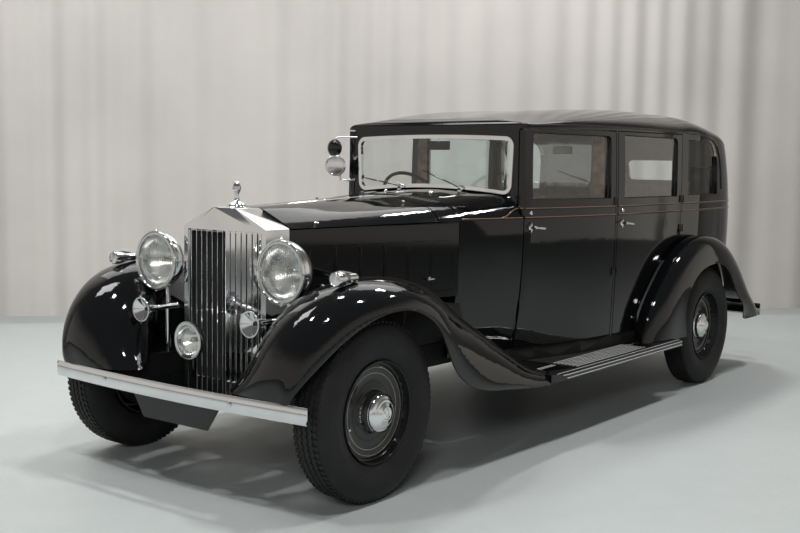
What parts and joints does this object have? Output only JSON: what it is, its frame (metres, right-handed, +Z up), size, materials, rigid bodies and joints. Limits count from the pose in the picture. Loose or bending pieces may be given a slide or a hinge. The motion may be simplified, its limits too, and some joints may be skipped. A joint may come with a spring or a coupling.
{
  "type": "vintage luxury car",
  "caption": "Black vintage formal limousine with an upright chrome radiator, sweeping separate wings, running boards, large headlamps and rear-hinged doors",
  "frame": {"origin": "on the ground, at the middle of the overall length and width", "axes": "Z up, the front of the car faces -Y, the car's left side is +X"},
  "size_m": [1.916, 5.33, 1.8662],
  "materials": {
    "black_paint": "gloss",
    "chassis_paint": "satin",
    "chrome": "polished",
    "cast_iron": "matte",
    "brass": "matte",
    "glass": "gloss",
    "red_lens": "gloss",
    "rubber": "matte",
    "leather": "satin",
    "wood": "gloss",
    "black_plastic": "gloss",
    "wheel_paint": "gloss",
    "tyre": "matte"
  },
  "bodies": {
    "body": {"board_mats": "rubber", "body_shell": "black_paint", "bonnet_hinge": "chrome", "bonnet_sides": "black_paint", "boot_hinge": "chrome", "chassis_frame": "chassis_paint", "door_hinge_pins": "chrome", "engine_block": "cast_iron", "fixed_glass": "glass", "floor_and_bulkhead": "chassis_paint", "front_apron": "black_paint", "front_bumper": "chrome", "front_seat": "leather", "front_suspension": "chassis_paint", "front_wings": "black_paint", "inner_valances": "black_paint", "lamp_lenses": "glass", "lamps_and_horns": "chrome", "partition_and_dash": "wood", "radiator_core": "brass", "radiator_shell": "chrome", "radiator_slats": "chrome", "rear_axle": "chassis_paint", "rear_bumper": "chrome", "rear_seat": "leather", "rear_wings": "black_paint", "running_boards": "rubber", "tail_lamps": "red_lens", "tank_and_exhaust": "chassis_paint", "windscreen_frame": "chrome"},
    "bonnet_left": {"bonnet_left": "black_paint"},
    "bonnet_right": {"bonnet_right": "black_paint"},
    "boot_lid": {"boot_lid": "black_paint"},
    "steering_wheel": {"steering_wheel": "black_plastic"},
    "knuckle_left": {"knuckle_left": "chassis_paint"},
    "knuckle_right": {"knuckle_right": "chassis_paint"},
    "front_door_left": {"front_door_left": "black_paint", "front_door_glass_left": "glass"},
    "front_wheel_left": {"wheel_front_left": "wheel_paint", "tyre_front_left": "tyre"},
    "front_door_right": {"front_door_right": "black_paint", "front_door_glass_right": "glass"},
    "front_wheel_right": {"wheel_front_right": "wheel_paint", "tyre_front_right": "tyre"},
    "rear_door_left": {"rear_door_left": "black_paint", "rear_door_glass_left": "glass"},
    "rear_wheel_left": {"wheel_rear_left": "wheel_paint", "tyre_rear_left": "tyre"},
    "rear_door_right": {"rear_door_right": "black_paint", "rear_door_glass_right": "glass"},
    "rear_wheel_right": {"wheel_rear_right": "wheel_paint", "tyre_rear_right": "tyre"}
  },
  "joints": [
    {"name": "front_door_left_hinge", "type": "hinge", "parent": "body", "child": "front_door_left", "pos_m": [0.768, 0.233, 1], "axis": [0, 0, 1], "range_deg": [0, 70]},
    {"name": "front_door_right_hinge", "type": "hinge", "parent": "body", "child": "front_door_right", "pos_m": [-0.768, 0.233, 1], "axis": [0, 0, -1], "range_deg": [0, 70]},
    {"name": "rear_door_left_hinge", "type": "hinge", "parent": "body", "child": "rear_door_left", "pos_m": [0.768, 1.209, 1], "axis": [0, 0, 1], "range_deg": [0, 60]},
    {"name": "rear_door_right_hinge", "type": "hinge", "parent": "body", "child": "rear_door_right", "pos_m": [-0.768, 1.209, 1], "axis": [0, 0, -1], "range_deg": [0, 60]},
    {"name": "bonnet_left_hinge", "type": "hinge", "parent": "body", "child": "bonnet_left", "pos_m": [0.006, -2.129, 1.273], "axis": [0, -0.999, -0.0446], "range_deg": [0, 60]},
    {"name": "bonnet_right_hinge", "type": "hinge", "parent": "body", "child": "bonnet_right", "pos_m": [-0.006, -2.129, 1.273], "axis": [0, 0.999, 0.0446], "range_deg": [0, 60]},
    {"name": "boot_lid_hinge", "type": "hinge", "parent": "body", "child": "boot_lid", "pos_m": [0, 2.431, 1.085], "axis": [1, 0, 0], "range_deg": [0, 70]},
    {"name": "steer_left", "type": "hinge", "parent": "body", "child": "knuckle_left", "pos_m": [0.69, -2.165, 0.403], "axis": [0, 0, 1], "range_deg": [-28, 28]},
    {"name": "steer_right", "type": "hinge", "parent": "body", "child": "knuckle_right", "pos_m": [-0.69, -2.165, 0.403], "axis": [0, 0, 1], "range_deg": [-28, 28]},
    {"name": "steering_wheel_turn", "type": "hinge", "parent": "body", "child": "steering_wheel", "pos_m": [-0.405, -0.265, 1.257], "axis": [0, 0.8192, 0.5736], "range_deg": [-392, 392]},
    {"name": "front_wheel_left_spin", "type": "hinge", "parent": "knuckle_left", "child": "front_wheel_left", "pos_m": [0.7685, -2.165, 0.403], "axis": [1, 0, 0], "continuous": true},
    {"name": "front_wheel_right_spin", "type": "hinge", "parent": "knuckle_right", "child": "front_wheel_right", "pos_m": [-0.7685, -2.165, 0.403], "axis": [1, 0, 0], "continuous": true},
    {"name": "rear_wheel_left_spin", "type": "hinge", "parent": "body", "child": "rear_wheel_left", "pos_m": [0.794, 1.442, 0.403], "axis": [1, 0, 0], "continuous": true},
    {"name": "rear_wheel_right_spin", "type": "hinge", "parent": "body", "child": "rear_wheel_right", "pos_m": [-0.794, 1.442, 0.403], "axis": [1, 0, 0], "continuous": true}
  ],
  "couplings": [
    {"joint": "steer_right", "follows": "steer_left", "ratio": 1},
    {"joint": "steering_wheel_turn", "follows": "steer_left", "ratio": 14}
  ]
}
